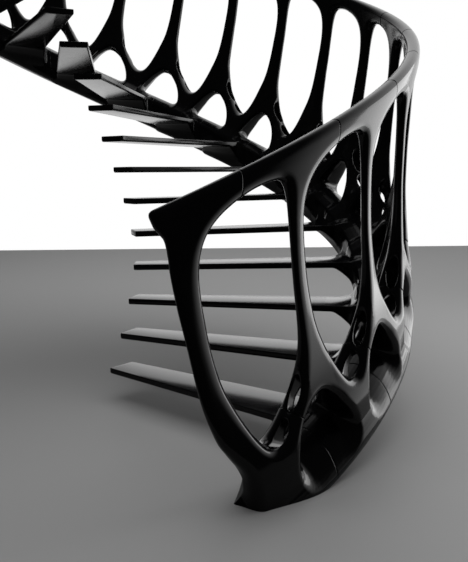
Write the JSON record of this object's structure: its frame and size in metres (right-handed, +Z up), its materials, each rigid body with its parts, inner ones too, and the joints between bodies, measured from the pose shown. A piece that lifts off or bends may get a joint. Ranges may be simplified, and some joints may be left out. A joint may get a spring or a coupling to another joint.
{
  "type": "spiral staircase",
  "caption": "Newel-free spiral stair of moulded gloss-black bays, each with a cantilevered tread, a length of outer string, a branching baluster and a run of handrail.",
  "frame": {"origin": "on the flat base of the foot, where the stair stands on the lower floor", "axes": "+Z up; +X points from the stair's axis out through the foot; the stair rises counter-clockwise seen from above, first towards +Y"},
  "size_m": [3.3329, 3.1021, 3.9299],
  "materials": {
    "bay_lacquer": "high-gloss black lacquer",
    "tread_lacquer": "gloss black lacquer, flat top face"
  },
  "bodies": {
    "root": {"foot_bay": "bay_lacquer", "bay_01": "bay_lacquer", "bay_02": "bay_lacquer", "bay_03": "bay_lacquer", "bay_04": "bay_lacquer", "bay_05": "bay_lacquer", "bay_06": "bay_lacquer", "bay_07": "bay_lacquer", "bay_08": "bay_lacquer", "bay_09": "bay_lacquer", "bay_10": "bay_lacquer", "bay_11": "bay_lacquer", "bay_12": "bay_lacquer", "bay_13": "bay_lacquer", "bay_14": "bay_lacquer", "bay_15": "bay_lacquer", "bay_16": "bay_lacquer", "head_bay": "bay_lacquer", "tread_01": "tread_lacquer", "tread_02": "tread_lacquer", "tread_03": "tread_lacquer", "tread_04": "tread_lacquer", "tread_05": "tread_lacquer", "tread_06": "tread_lacquer", "tread_07": "tread_lacquer", "tread_08": "tread_lacquer", "tread_09": "tread_lacquer", "tread_10": "tread_lacquer", "tread_11": "tread_lacquer", "tread_12": "tread_lacquer", "tread_13": "tread_lacquer", "tread_14": "tread_lacquer", "tread_15": "tread_lacquer", "tread_16": "tread_lacquer"}
  },
  "joints": []
}
